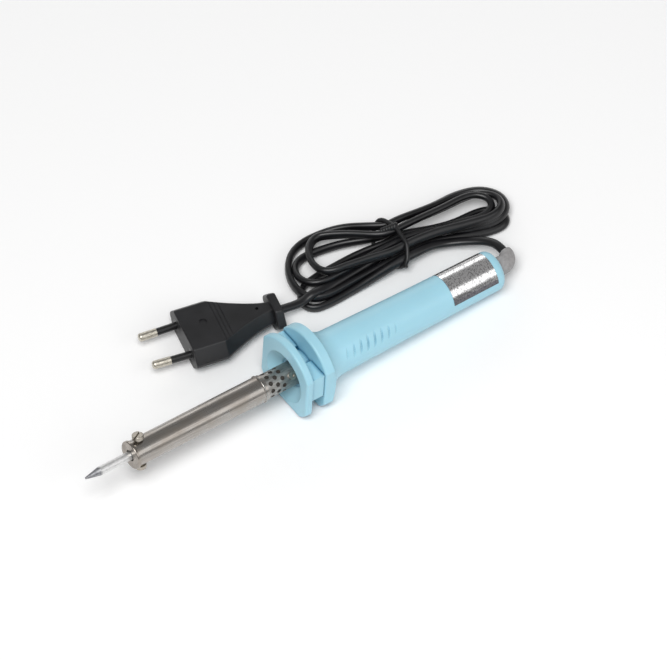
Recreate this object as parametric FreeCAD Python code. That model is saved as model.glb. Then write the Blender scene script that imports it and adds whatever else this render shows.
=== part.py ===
import FreeCAD, Part
import math
import os
from FreeCAD import Placement, Rotation, Vector

# Mains soldering iron with a pencil bit, a two-flange hand guard, a moulded handle, a short
# twin-core cord tied in a hank and a flat two-pin plug. Lengths are millimetres.
# Iron frame: X runs along the iron's axis from the bit's point (X = 0) to the cord, Y is
# sideways and Z is up. place() tilts that frame until the guard and the handle's end rest
# on the floor, and puts the origin under the middle of the iron.

# ---- bit ----
bit_diameter = 4.3
bit_length = 88.0
bit_stickout = 25.2
bit_point_length = 8.0
bit_point_diameter = 1.0
bit_clearance = 0.2

# ---- end cap and its two set screws ----
cap_flange_diameter = 14.0
cap_flange_thickness = 1.5
cap_edge_round = 0.45
cap_mouth_diameter = 5.6
cap_skirt_length = 11.3
cap_gap = 0.2
set_screw_setback = 3.5
set_screw_lean = 12.0
set_screw_thread = 3.0
set_screw_head_diameter = 5.5
set_screw_head_height = 2.0
set_screw_head_lift = 1.3
set_screw_slot_width = 0.8
set_screw_slot_depth = 0.9
set_screw_tip_clearance = 0.08
thread_clearance = 0.05

# ---- barrel and perforated mounting sleeve ----
barrel_diameter = 12.8
barrel_wall = 0.4
barrel_length = 73.4
sleeve_wall = 0.4
sleeve_overlap = 10.0
sleeve_exposed = 12.5
sleeve_flange_clearance = 0.3
sleeve_flange_thickness = 0.8
vent_diameter = 2.2
vent_rows = 3
vents_per_row = 10
vent_pitch = 3.3
slip_clearance = 0.05
crimp_bead_radius = 0.45
sleeve_screw_thread = 2.5
sleeve_screw_head_diameter = 4.0
sleeve_screw_head_height = 0.9
sleeve_screw_length = 3.2
sleeve_screw_angle = 45.0

# ---- heater ----
heater_tube_wall = 0.3
bit_tail_gap = 4.0
former_wall = 1.05
winding_wire = 0.45
winding_turns = 60
mica_wall = 0.5
carrier_length = 18.0
carrier_recess = 4.0
lead_wire_diameter = 0.7
lead_sleeving_diameter = 2.0

# ---- guard ----
guard_diameter = 42.0
guard_thickness = 4.0
guard_side_flat = 18.0
guard_bottom_flat = 16.2
guard_edge_round = 1.1
guard_gap = 7.0
guard_dish_diameter = 27.0
guard_dish_depth = 4.8
guard_dish_floor_diameter = 14.0
guard_spigot_diameter = 18.8
guard_spigot_length = 10.0
guard_block_side = 16.5
guard_block_top = 9.9
guard_block_bottom = 4.3
guard_block_gap = 0.15

# ---- handle ----
handle_length = 109.9
flange_scale = 0.97
flange_thickness = 4.5
flare_length = 12.2
grip_front_diameter = 22.7
grip_middle_diameter = 20.9
grip_rear_diameter = 19.8
handle_end_round = 3.5
handle_cavity_diameter = 15.6
handle_rear_wall = 7.7
socket_depth = 10.9
grip_groove_count = 8
grip_groove_pitch = 4.0
grip_groove_setback = 1.6
grip_groove_depth = 0.5
grip_groove_radius = 0.6
grip_groove_fade = 0.5
grip_groove_angle = 54.0
grip_groove_offset = 20.0
grip_groove_lean = 14.0

# ---- foil label ----
label_length = 25.4
label_thickness = 0.12
label_half_angle = 77.0
label_end_setback = 5.1

# ---- terminals, cord entry and strain relief ----
block_length = 18.0
block_width = 13.6
block_height = 6.6
terminal_offset = 4.35
terminal_diameter = 3.4
terminal_bore = 1.9
terminal_screw_diameter = 2.0
terminal_setback = 10.0
core_diameter = 1.8
core_spacing = 2.1
sheath_width = 4.4
sheath_thickness = 3.2
sheath_strip_length = 24.0
ferrule_length = 6.0
ferrule_wall = 1.0
relief_hole_diameter = 8.6
relief_collar_diameter = 13.0
relief_collar_thickness = 2.0
relief_base_diameter = 9.2
relief_tip_diameter = 6.6
relief_straight = 4.0
relief_bend_radius = 5.5
relief_bend_angle = 90.0

# ---- cord tube, hank and tie, in the floor frame ----
cord_diameter = 3.8
lead_points = [
    (119.76, 5.5, 9.19), (119.76, 9.8, 9.19), (118.9, 14.0, 8.6), (116.5, 18.0, 7.6),
    (112.7, 22.0, 6.4), (107.5, 26.4, 5.2), (101.7, 29.8, 4.8), (95.5, 31.6, 5.8),
]
tail_points = [(15.154, 39.963, 6.85), (19.042, 39.022, 6.85), (23.6, 38.3, 6.4), (28.4, 38.4, 5.8)]

# hank: station along X, low and high edge in Y, bottom and top in Z
hank_waist_lift = 2.1
hank_sections = [
    (24.3, 37.0, 43.5, 1.5, 5.5),
    (27.0, 32.6, 48.5, 0.3, 8.0),
    (33.0, 31.0, 61.5, 0.0, 9.5),
    (42.0, 30.6, 69.5, 0.0, 11.0),
    (52.0, 30.4, 71.2, 0.0, 11.5),
    (65.0, 29.6, 68.0, 0.0, 12.0),
    (73.0, 29.3, 61.5, 1.0, 13.0),
    (78.3, 29.2, 52.6, hank_waist_lift, 13.6),
    (86.8, 29.2, 52.6, hank_waist_lift, 13.6),
    (95.0, 29.8, 51.2, 0.6, 13.0),
    (104.0, 29.6, 51.6, 0.0, 12.5),
    (114.5, 26.0, 52.4, 0.0, 12.0),
    (122.0, 21.6, 51.8, 0.0, 11.5),
    (129.0, 19.0, 50.2, 0.0, 11.0),
    (137.0, 21.5, 46.8, 0.0, 9.5),
    (141.8, 31.0, 41.0, 1.5, 7.0),
]
tie_station = 82.5
tie_tilt = 35.5
tie_radius = 1.0
tie_knob_radius = 1.5
tie_knob_length = 4.5
tie_tail_length = 4.5

# ---- plug ----
pin_diameter = 4.0
pin_length = 19.0
pin_sleeve_length = 10.0
pin_sleeve_diameter = 3.6
pin_root_spacing = 18.6
pin_tip_spacing = 17.6
pin_tail_length = 12.0
pin_tail_diameter = 3.0
plug_width = 35.3
plug_thickness = 13.7
plug_edge_round = 0.8
plug_point_share = 0.36
plug_corner_share = 0.09
plug_straight_length = 16.0
plug_length = 48.0
plug_neck_width = 12.6
plug_neck_height = 11.0
plug_taper_power = 1.35
plug_ridge_count = 3
plug_ridge_pitch = 1.9
plug_ridge_depth = 0.35
plug_grip_width = 21.0
plug_grip_height = 13.7
plug_grip_thickness = 4.5
plug_dimple_place = (10.5, 1.5)
plug_dimple_radius = 1.9
plug_dimple_depth = 0.5
plug_vent_place = (37.0, 0.5)
plug_vent_diameter = 1.6
plug_vent_depth = 2.0
plug_collar_diameter = 6.4
plug_collar_depth = 3.0
plug_position = (-31.5, 51.25)
plug_heading = -13.6

# ---- places along the iron's axis ----
cap_face = bit_stickout
barrel_start = cap_face + cap_flange_thickness + cap_gap
barrel_end = barrel_start + barrel_length
guard_front = barrel_end + sleeve_exposed
guard_back = guard_front + guard_thickness
flange_front = guard_back + guard_gap
handle_end = flange_front + handle_length
flare_end = flange_front + flange_thickness + flare_length
cavity_start = flange_front + socket_depth
cavity_end = handle_end - handle_rear_wall
set_screw_station = barrel_start + set_screw_setback
rest_radius = 0.5 * grip_rear_diameter
rest_station = handle_end - handle_end_round
grip_middle = 0.5 * (flare_end + rest_station)
tilt_angle = math.degrees(math.atan2(guard_bottom_flat - rest_radius, rest_station - guard_back))

# ---- radii that several pieces share ----
bit_radius = 0.5 * bit_diameter
barrel_radius = 0.5 * barrel_diameter
barrel_bore = barrel_radius - barrel_wall
sleeve_radius = barrel_bore - slip_clearance
sleeve_bore = sleeve_radius - sleeve_wall
heater_bore = bit_radius + bit_clearance
heater_radius = heater_bore + heater_tube_wall
former_bore = heater_radius + slip_clearance
former_radius = former_bore + former_wall
winding_bore = former_radius + slip_clearance
winding_radius = winding_bore + winding_wire
mica_bore = winding_radius + slip_clearance
mica_radius = mica_bore + mica_wall
former_start = barrel_start + cap_skirt_length - 3.0
winding_start = former_start + 7.0
carrier_end = guard_back + 1.2
carrier_start = carrier_end - carrier_length
winding_end = carrier_start - 8.0
former_end = carrier_start + carrier_recess
heater_tube_end = bit_length + bit_tail_gap
lead_offset = former_radius + slip_clearance + 0.5 * lead_wire_diameter
spigot_radius = 0.5 * guard_spigot_diameter
socket_radius = spigot_radius + 0.1
spigot_end = flange_front + guard_spigot_length
flange_radius = 0.5 * guard_diameter * flange_scale
core_radius = 0.5 * core_diameter


# ---- shapes turned about the iron's axis ----
def rod(start, end, radius, y=0.0, z=0.0):
    return Part.makeCylinder(radius, end - start, Vector(start, y, z), Vector(1, 0, 0))


def ring(start, end, radius, bore):
    return rod(start, end, radius).cut(rod(start - 1.0, end + 1.0, bore))


def cone(start, end, radius, end_radius):
    return Part.makeCone(radius, end_radius, end - start, Vector(start, 0, 0), Vector(1, 0, 0))


def box(x, y, z):
    """A box from three (low, high) pairs."""
    size = [pair[1] - pair[0] for pair in (x, y, z)]
    return Part.makeBox(size[0], size[1], size[2], Vector(x[0], y[0], z[0]))


def lathe(edges):
    """Turn a closed outline of edges in the X-Z plane about the X axis."""
    face = Part.Face(Part.Wire(edges))
    return face.revolve(Vector(0, 0, 0), Vector(1, 0, 0), 360)


def line(start, end):
    return Part.LineSegment(Vector(start[0], 0, start[1]), Vector(end[0], 0, end[1])).toShape()


def arc(start, middle, end):
    points = [Vector(point[0], 0, point[1]) for point in (start, middle, end)]
    return Part.Arc(points[0], points[1], points[2]).toShape()


def around_axis(shape, angle):
    """Turn a shape about the iron's axis; positive angles lean the top toward -Y."""
    turned = shape.copy()
    turned.rotate(Vector(0, 0, 0), Vector(1, 0, 0), angle)
    return turned


def rounded_edges_at(shape, station, radius, outside):
    """Round the edges that lie in the plane X = station, outside a given distance."""
    edges = []
    for edge in shape.Edges:
        box_of_edge = edge.BoundBox
        in_plane = abs(box_of_edge.XMin - station) < 1e-4 and abs(box_of_edge.XMax - station) < 1e-4
        middle = edge.valueAt(0.5 * (edge.FirstParameter + edge.LastParameter))
        if in_plane and math.hypot(middle.y, middle.z) > outside:
            edges.append(edge)
    return shape.makeFillet(radius, edges)


# ---- bit ----
def make_bit():
    shaft = rod(bit_point_length, bit_length, bit_radius)
    shaft = rounded_edges_at(shaft, bit_length, 0.4, 0.0)
    point = cone(0.0, bit_point_length, 0.5 * bit_point_diameter, bit_radius)
    return shaft.fuse(point).removeSplitter()


# ---- end cap, set screws ----
def screw_direction():
    lean = math.radians(set_screw_lean)
    return Vector(0, math.sin(lean), math.cos(lean))


def radial_rod(station, direction, inner, outer, radius):
    """A cylinder that points away from the iron's axis."""
    return Part.makeCylinder(radius, outer - inner, Vector(station, 0, 0) + direction * inner, direction)


def make_end_cap():
    flange = rod(cap_face, cap_face + cap_flange_thickness, 0.5 * cap_flange_diameter)
    flange = rounded_edges_at(flange, cap_face, cap_edge_round, 0.0)
    skirt_end = barrel_start + cap_skirt_length
    skirt = rod(cap_face + cap_flange_thickness, skirt_end, barrel_bore - slip_clearance)
    cap = flange.fuse(skirt)
    cap = cap.cut(rod(cap_face - 1.0, skirt_end + 1.0, 0.5 * cap_mouth_diameter))
    cap = cap.cut(rod(former_start - slip_clearance, skirt_end + 1.0, former_radius + slip_clearance))
    thread_hole = 0.5 * set_screw_thread + thread_clearance
    for side in (1, -1):
        direction = screw_direction() * side
        cap = cap.cut(radial_rod(set_screw_station, direction, 0.0, barrel_radius, thread_hole))
    return cap.removeSplitter()


def make_set_screw(side):
    direction = screw_direction() * side
    tip = bit_radius + set_screw_tip_clearance
    head_base = barrel_radius + set_screw_head_lift
    head_top = head_base + set_screw_head_height
    shank = radial_rod(set_screw_station, direction, tip, head_base, 0.5 * set_screw_thread)
    head = radial_rod(set_screw_station, direction, head_base, head_top, 0.5 * set_screw_head_diameter)
    rim = [edge for edge in head.Edges if edge.BoundBox.Center.distanceToPoint(
        Vector(set_screw_station, 0, 0) + direction * head_top) < 0.01]
    head = head.makeFillet(0.3, rim)
    slot = box((-4.0, 4.0), (-0.5 * set_screw_slot_width, 0.5 * set_screw_slot_width),
               (head_top - set_screw_slot_depth, head_top + 1.0))
    slot.rotate(Vector(0, 0, 0), Vector(0, 0, 1), 28.0)
    lean = -set_screw_lean if side > 0 else 180.0 - set_screw_lean
    slot.rotate(Vector(0, 0, 0), Vector(1, 0, 0), lean)
    slot.translate(Vector(set_screw_station, 0, 0))
    return shank.fuse(head).cut(slot).removeSplitter()


# ---- barrel, mounting sleeve and its screws ----
def make_barrel():
    barrel = ring(barrel_start, barrel_end, barrel_radius, barrel_bore)
    hole = 0.5 * set_screw_thread + 2.0 * thread_clearance
    for side in (1, -1):
        direction = screw_direction() * side
        barrel = barrel.cut(radial_rod(set_screw_station, direction, 0.0, barrel_radius + 1.0, hole))
    bead_station = barrel_end - 4.0 * crimp_bead_radius
    bead = Part.makeTorus(barrel_radius, crimp_bead_radius, Vector(bead_station, 0, 0), Vector(1, 0, 0))
    bead = bead.cut(rod(bead_station - 2.0, bead_station + 2.0, barrel_radius - 0.5 * barrel_wall))
    return barrel.fuse(bead).removeSplitter()


def sleeve_screw_axes():
    angle = math.radians(sleeve_screw_angle)
    direction = Vector(0, -math.sin(angle), math.cos(angle))
    return [direction, direction * -1.0]


def sleeve_screw_station():
    return guard_front + 1.2


def make_mounting_sleeve():
    start = barrel_end - sleeve_overlap
    end = spigot_end + sleeve_flange_thickness
    sleeve = rod(start, end, sleeve_radius)
    sleeve = sleeve.fuse(rod(spigot_end, end, socket_radius - sleeve_flange_clearance))
    sleeve = sleeve.cut(rod(start - 1.0, end + 1.0, sleeve_bore))
    for row in range(vent_rows):
        station = barrel_end + 2.2 + row * vent_pitch
        for index in range(vents_per_row):
            turn = 2.0 * math.pi * (index + 0.5 * (row % 2)) / vents_per_row
            direction = Vector(0, math.sin(turn), math.cos(turn))
            sleeve = sleeve.cut(radial_rod(station, direction, 2.0, sleeve_radius + 1.0, 0.5 * vent_diameter))
    hole = 0.5 * sleeve_screw_thread + thread_clearance
    for direction in sleeve_screw_axes():
        sleeve = sleeve.cut(radial_rod(sleeve_screw_station(), direction, 2.0, sleeve_radius + 1.0, hole))
    return sleeve


def make_sleeve_screws():
    screws = []
    inner = sleeve_radius - sleeve_screw_length
    for direction in sleeve_screw_axes():
        top = sleeve_radius + sleeve_screw_head_height
        shank = radial_rod(sleeve_screw_station(), direction, inner, sleeve_radius, 0.5 * sleeve_screw_thread)
        head = radial_rod(sleeve_screw_station(), direction, sleeve_radius, top,
                          0.5 * sleeve_screw_head_diameter)
        recess = radial_rod(sleeve_screw_station(), direction, top - 0.7, top + 1.0, 0.9)
        screws.append(shank.fuse(head).cut(recess).removeSplitter())
    return Part.makeCompound(screws)


# ---- heater ----
def make_heater_tube():
    start = former_start - slip_clearance
    tube = rod(start, heater_tube_end, heater_radius)
    return tube.cut(rod(start - 1.0, heater_tube_end - 1.0, heater_bore))


def make_heater_former():
    return ring(former_start, former_end, former_radius, former_bore)


def make_heater_winding():
    """The wire's turns lie side by side, so the layer is one sleeve with a crown for each turn."""
    pitch = (winding_end - winding_start) / winding_turns
    crown = 0.5 * winding_wire
    edges = [line((winding_start, winding_bore), (winding_start, winding_bore + crown))]
    for turn in range(winding_turns):
        left = winding_start + turn * pitch
        edges.append(arc((left, winding_bore + crown), (left + 0.5 * pitch, winding_radius),
                         (left + pitch, winding_bore + crown)))
    edges.append(line((winding_end, winding_bore + crown), (winding_end, winding_bore)))
    edges.append(line((winding_end, winding_bore), (winding_start, winding_bore)))
    return lathe(edges)


def make_mica_wrap():
    return ring(winding_start - 2.0, winding_end + 0.5, mica_radius, mica_bore)


def make_heater_carrier():
    carrier = rod(carrier_start, carrier_end, sleeve_bore - slip_clearance)
    carrier = carrier.cut(rod(carrier_start - 1.0, former_end, former_radius + slip_clearance))
    carrier = carrier.cut(rod(former_end - 1.0, carrier_end + 1.0, former_bore - 0.6))
    carrier = carrier.cut(rod(former_start, heater_tube_end + slip_clearance, former_bore))
    for side in (1, -1):
        hole = 0.5 * lead_wire_diameter + thread_clearance
        carrier = carrier.cut(rod(carrier_start - 1.0, carrier_end + 1.0, hole, side * lead_offset))
    thread_hole = 0.5 * sleeve_screw_thread + thread_clearance
    for direction in sleeve_screw_axes():
        hole = radial_rod(sleeve_screw_station(), direction, 0.0, sleeve_radius, thread_hole)
        carrier = carrier.cut(hole)
    return carrier


def make_lead_wires():
    start = winding_end + 1.0
    end = terminal_start() + 5.0
    return Part.makeCompound([rod(start, end, 0.5 * lead_wire_diameter, side * lead_offset)
                              for side in (1, -1)])


def make_lead_sleeving():
    start = carrier_end + 0.5
    end = terminal_start() - 0.5
    pieces = []
    for side in (1, -1):
        outer = rod(start, end, 0.5 * lead_sleeving_diameter, side * lead_offset)
        outer = outer.common(rod(start, end, sleeve_bore - slip_clearance))
        bore = 0.5 * lead_wire_diameter + thread_clearance
        pieces.append(outer.cut(rod(start - 1.0, end + 1.0, bore, side * lead_offset)))
    return Part.makeCompound(pieces)


# ---- guard and handle ----
def flatted_disc(start, end, scale):
    disc = rod(start, end, 0.5 * guard_diameter * scale)
    side = guard_side_flat * scale
    limits = box((start - 1.0, end + 1.0), (-side, side), (-guard_bottom_flat * scale, guard_diameter))
    return disc.common(limits)


def make_front_guard():
    plate = flatted_disc(guard_front, guard_back, 1.0)
    plate = rounded_edges_at(plate, guard_front, guard_edge_round, 1.0)
    plate = rounded_edges_at(plate, guard_back, guard_edge_round, 1.0)
    guard = plate.fuse(rod(guard_back - 1.0, spigot_end, spigot_radius))
    for side in (1, -1):
        y_range = sorted((side * 0.6 * spigot_radius, side * guard_block_side))
        block = box((guard_back - 1.0, flange_front - guard_block_gap), y_range,
                    (-guard_block_bottom, guard_block_top))
        guard = guard.fuse(block)
    guard = guard.cut(cone(guard_front, guard_front + guard_dish_depth, 0.5 * guard_dish_diameter,
                           0.5 * guard_dish_floor_diameter))
    guard = guard.cut(rod(guard_front, spigot_end + 1.0, sleeve_radius + 2.0 * slip_clearance))
    return guard.removeSplitter()


def handle_blank():
    """The outside of the handle: rear guard flange, hollow flare and a grip that tapers in two stages."""
    flare_radius = flare_length
    front_radius = 0.5 * grip_front_diameter
    centre_height = front_radius + flare_radius
    rise = centre_height - flange_radius
    lip = flare_end - math.sqrt(flare_radius ** 2 - rise ** 2)
    half_turn = 0.5 * math.acos(rise / flare_radius)
    bend = (flare_end - flare_radius * math.sin(half_turn), centre_height - flare_radius * math.cos(half_turn))
    nose = 0.5 * handle_end_round * math.sqrt(2.0)
    end_radius = rest_radius - handle_end_round
    edges = [
        line((flange_front, 0.0), (flange_front, flange_radius)),
        line((flange_front, flange_radius), (lip, flange_radius)),
        arc((lip, flange_radius), bend, (flare_end, front_radius)),
        line((flare_end, front_radius), (grip_middle, 0.5 * grip_middle_diameter)),
        line((grip_middle, 0.5 * grip_middle_diameter), (rest_station, rest_radius)),
        arc((rest_station, rest_radius), (rest_station + nose, end_radius + nose), (handle_end, end_radius)),
        line((handle_end, end_radius), (handle_end, 0.0)),
        line((handle_end, 0.0), (flange_front, 0.0)),
    ]
    return lathe(edges)


def grip_radius(station):
    """Radius of the grip's outside at a station; it tapers in two stages."""
    if station < grip_middle:
        share = (station - flare_end) / (grip_middle - flare_end)
        return 0.5 * (grip_front_diameter + (grip_middle_diameter - grip_front_diameter) * share)
    share = (station - grip_middle) / (rest_station - grip_middle)
    return 0.5 * (grip_middle_diameter + (grip_rear_diameter - grip_middle_diameter) * share)


def make_grip_grooves():
    """A row of crescent cuts on the side turned up, shallower and so shorter toward both ends of the row."""
    grooves = []
    middle = 0.5 * (grip_groove_count - 1)
    for index in range(grip_groove_count):
        station = flare_end + grip_groove_setback + index * grip_groove_pitch
        depth = grip_groove_depth * (1.0 - grip_groove_fade * ((index - middle) / middle) ** 2)
        radius = grip_radius(station) + grip_groove_offset + grip_groove_radius - depth
        groove = Part.makeTorus(radius, grip_groove_radius, Vector(0, 0, 0), Vector(1, 0, 0))
        groove.translate(Vector(0, 0, -grip_groove_offset))
        groove = groove.common(box((-1.0, 1.0), (-grip_rear_diameter, grip_rear_diameter), (0.0, 2.0 * radius)))
        groove.rotate(Vector(0, 0, 0), Vector(0, 0, 1), -grip_groove_lean)
        groove = around_axis(groove, grip_groove_angle)
        groove.translate(Vector(station, 0, 0))
        grooves.append(groove)
    return grooves


def make_handle():
    side = guard_side_flat * flange_scale
    bottom = guard_bottom_flat * flange_scale - 0.3
    limits = box((flange_front - 1.0, handle_end + 1.0), (-side, side), (-bottom, guard_diameter))
    handle = handle_blank().common(limits)
    handle = rounded_edges_at(handle, flange_front, guard_edge_round, 1.0)
    handle = handle.cut(rod(flange_front - 1.0, cavity_start, socket_radius))
    handle = handle.cut(rod(cavity_start - 1.0, cavity_end, 0.5 * handle_cavity_diameter))
    handle = handle.cut(rod(cavity_end - 1.0, handle_end + 1.0, 0.5 * relief_hole_diameter))
    for groove in make_grip_grooves():
        handle = handle.cut(groove)
    return handle


def make_foil_label():
    end = rest_station - label_end_setback + handle_end_round
    start = end - label_length
    front = grip_radius(start)
    rear = grip_radius(end)
    edges = [line((start, front), (start, front + label_thickness)),
             line((start, front + label_thickness), (end, rear + label_thickness)),
             line((end, rear + label_thickness), (end, rear)),
             line((end, rear), (start, front))]
    face = around_axis(Part.Face(Part.Wire(edges)), -label_half_angle)
    return face.revolve(Vector(0, 0, 0), Vector(1, 0, 0), 2.0 * label_half_angle)


# ---- terminals and cord entry ----
def terminal_start():
    return cavity_start + terminal_setback


def make_terminal_block():
    start = terminal_start()
    block = box((start, start + block_length), (-0.5 * block_width, 0.5 * block_width),
                (-0.5 * block_height, 0.5 * block_height))
    for side in (1, -1):
        bore = 0.5 * terminal_diameter + thread_clearance
        block = block.cut(rod(start - 1.0, start + block_length + 1.0, bore, side * terminal_offset))
        for station in terminal_screw_stations():
            hole = Part.makeCylinder(terminal_screw_diameter, block_height,
                                     Vector(station, side * terminal_offset, 0), Vector(0, 0, 1))
            block = block.cut(hole)
    return block


def terminal_screw_stations():
    start = terminal_start()
    return (start + 0.28 * block_length, start + 0.72 * block_length)


def make_terminal_tubes():
    start = terminal_start() + 1.0
    end = terminal_start() + block_length - 1.0
    tubes = []
    for side in (1, -1):
        tube = rod(start, end, 0.5 * terminal_diameter, side * terminal_offset)
        tube = tube.cut(rod(start - 1.0, end + 1.0, 0.5 * terminal_bore, side * terminal_offset))
        for station in terminal_screw_stations():
            hole = Part.makeCylinder(0.5 * terminal_screw_diameter + thread_clearance, block_height,
                                     Vector(station, side * terminal_offset, 0), Vector(0, 0, 1))
            tube = tube.cut(hole)
        tubes.append(tube)
    return Part.makeCompound(tubes)


def make_terminal_screws():
    screws = []
    for side in (1, -1):
        for station in terminal_screw_stations():
            foot = Vector(station, side * terminal_offset, 0.5 * terminal_bore + 0.05)
            head_base = 0.5 * terminal_diameter + 0.1
            shank = Part.makeCylinder(0.5 * terminal_screw_diameter, head_base - foot.z, foot, Vector(0, 0, 1))
            head = Part.makeCylinder(0.5 * terminal_screw_diameter + 0.7, 1.3,
                                     Vector(foot.x, foot.y, head_base), Vector(0, 0, 1))
            slot = box((station - 3.0, station + 3.0), (foot.y - 0.25, foot.y + 0.25),
                       (head_base + 0.7, head_base + 2.0))
            screws.append(shank.fuse(head).cut(slot).removeSplitter())
    return Part.makeCompound(screws)


def make_cord_cores():
    """Two insulated cores, parallel in the sheath and spread out to the terminals."""
    start = terminal_start() + block_length
    sheath_end = sheath_start()
    cores = []
    for side in (1, -1):
        points = [Vector(start, side * terminal_offset, 0), Vector(start + 3.0, side * terminal_offset, 0),
                  Vector(sheath_end - 3.0, side * 0.5 * core_spacing, 0),
                  Vector(sheath_end, side * 0.5 * core_spacing, 0)]
        cores.append(tube_along(points, core_radius)[0])
    return Part.makeCompound(cores)


def sheath_start():
    return cavity_end - sheath_strip_length


def oval_rod(start, end, width, thickness):
    """A flat-oval bar along X, wider in Y than it is thick."""
    half = 0.5 * thickness
    reach = 0.5 * width - half
    bar = rod(start, end, half, reach).fuse(rod(start, end, half, -reach))
    return bar.fuse(box((start, end), (-reach, reach), (-half, half))).removeSplitter()


def make_cord_inner():
    return oval_rod(sheath_start(), cavity_end - relief_collar_thickness, sheath_width, sheath_thickness)


def make_cord_ferrule():
    end = cavity_end - relief_collar_thickness - 1.0
    outer = oval_rod(end - ferrule_length, end, sheath_width + 2.0 * ferrule_wall + 2.0 * slip_clearance,
                     sheath_thickness + 2.0 * ferrule_wall + 2.0 * slip_clearance)
    return outer.cut(oval_rod(end - ferrule_length - 1.0, end + 1.0, sheath_width + 2.0 * slip_clearance,
                              sheath_thickness + 2.0 * slip_clearance))


def relief_section(turn):
    """Circle across the strain relief where it has turned by this angle, in degrees."""
    angle = math.radians(turn)
    share = turn / relief_bend_angle
    radius = 0.5 * (relief_base_diameter + (relief_tip_diameter - relief_base_diameter) * share)
    centre = Vector(handle_end + relief_straight + relief_bend_radius * math.sin(angle),
                    relief_bend_radius * (1.0 - math.cos(angle)), 0)
    circle = Part.Circle(centre, Vector(math.cos(angle), math.sin(angle), 0), radius)
    return Part.Wire([circle.toShape()])


def make_strain_relief():
    base_radius = 0.5 * relief_base_diameter
    collar = rod(cavity_end - relief_collar_thickness, cavity_end, 0.5 * relief_collar_diameter)
    neck = rod(cavity_end, handle_end, 0.5 * relief_hole_diameter - slip_clearance)
    straight = rod(handle_end, handle_end + relief_straight, base_radius)
    steps = 6
    sections = [relief_section(relief_bend_angle * step / steps) for step in range(steps + 1)]
    bend = Part.makeLoft(sections, True, False)
    return collar.fuse(neck).fuse(straight).fuse(bend).removeSplitter()


# ---- cord ----
def tube_along(points, radius):
    """A round tube on straight runs joined by the largest arcs that their lengths allow."""
    runs = [points[i + 1] - points[i] for i in range(len(points) - 1)]
    edges = []
    radii = []
    reached = points[0]
    for i in range(1, len(points) - 1):
        before = Vector(runs[i - 1]).normalize()
        after = Vector(runs[i]).normalize()
        turn = before.getAngle(after)
        trim = 0.45 * min(runs[i - 1].Length, runs[i].Length)
        start = points[i] - before * trim
        end = points[i] + after * trim
        bend_radius = trim / math.tan(0.5 * turn)
        inward = (after - before).normalize()
        middle = points[i] + inward * (bend_radius / math.cos(0.5 * turn) - bend_radius)
        edges.append(Part.LineSegment(reached, start).toShape())
        edges.append(Part.Arc(start, middle, end).toShape())
        radii.append(bend_radius)
        reached = end
    edges.append(Part.LineSegment(reached, points[-1]).toShape())
    path = Part.Wire(edges)
    first = Vector(runs[0]).normalize()
    profile = Part.Wire([Part.Circle(points[0], first, radius).toShape()])
    tube = path.makePipeShell([profile], True, False)
    return tube, path, radii


def report_tube(name, tube, path, radii):
    expected = math.pi * (0.5 * cord_diameter) ** 2 * path.Length
    print(name, "bend radii", [round(radius, 1) for radius in radii], "length", round(path.Length, 1),
          "volume ratio", round(tube.Volume / expected, 4))


# ---- plug, built with X from its face to its cord end, Z = 0 at mid thickness ----
def plug_outline(station, width, height):
    """The plug's section: flat above and below, with a blunt point at each end and every corner round."""
    reach = 0.5 * width - plug_point_share * height
    half = 0.5 * height
    blunt = 0.06 * height
    corners = [(reach, half), (-reach, half), (-0.5 * width, blunt), (-0.5 * width, -blunt),
               (-reach, -half), (reach, -half), (0.5 * width, -blunt), (0.5 * width, blunt)]
    sharp = Part.makePolygon([Vector(station, y, z) for y, z in corners + corners[:1]])
    rounding = plug_corner_share * height
    inner = Part.Face(sharp).makeOffset2D(-rounding, 2)
    return inner.makeOffset2D(rounding, 0).OuterWire


def plug_bar(start, end, width, height):
    return Part.Face(plug_outline(start, width, height)).extrude(Vector(end - start, 0, 0))


def make_plug_body():
    front = plug_bar(0.0, plug_straight_length, plug_width, plug_thickness)
    front = front.makeFillet(plug_edge_round, [edge for edge in front.Edges if edge.BoundBox.XMax < 1e-4])
    grip_start = plug_length - plug_grip_thickness
    steps = 5
    sections = []
    for step in range(steps + 1):
        share = step / steps
        station = plug_straight_length + (grip_start - plug_straight_length) * share
        swell = (1.0 - share) ** plug_taper_power
        width = plug_neck_width + (plug_width - plug_neck_width) * swell
        height = plug_neck_height + (plug_thickness - plug_neck_height) * swell
        sections.append(plug_outline(station, width, height))
    taper = Part.makeLoft(sections, True, False)
    grip = plug_bar(grip_start, plug_length, plug_grip_width, plug_grip_height)
    rims = [edge for edge in grip.Edges if edge.BoundBox.XLength < 1e-4]
    grip = grip.makeFillet(1.2, rims)
    body = front.fuse(taper).fuse(grip)
    for index in range(plug_ridge_count):
        station = plug_straight_length + 0.6 + index * plug_ridge_pitch
        groove = box((station, station + 0.7), (-plug_width, plug_width),
                     (0.5 * plug_thickness - plug_ridge_depth - 0.12 * index, plug_thickness))
        body = body.cut(groove)
    dimple = Part.makeCylinder(plug_dimple_radius, plug_thickness,
                               Vector(*plug_dimple_place, 0.5 * plug_thickness - plug_dimple_depth))
    vent = Part.makeCylinder(0.5 * plug_vent_diameter, plug_thickness,
                             Vector(*plug_vent_place, 0.5 * plug_neck_height - plug_vent_depth))
    for hole in (dimple, vent, *plug_pin_holes()):
        body = body.cut(hole)
    return body.removeSplitter()


def pin_lines():
    """Foot and outward direction of both pins; they close in slightly toward their tips."""
    converge = 0.5 * (pin_root_spacing - pin_tip_spacing) / pin_length
    lines = []
    for side in (1, -1):
        direction = Vector(-1.0, -side * converge, 0).normalize()
        lines.append((Vector(0, side * 0.5 * pin_root_spacing, 0), direction))
    return lines


def pin_bar(foot, direction, start, end, radius):
    return Part.makeCylinder(radius, end - start, foot + direction * start, direction)


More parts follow.
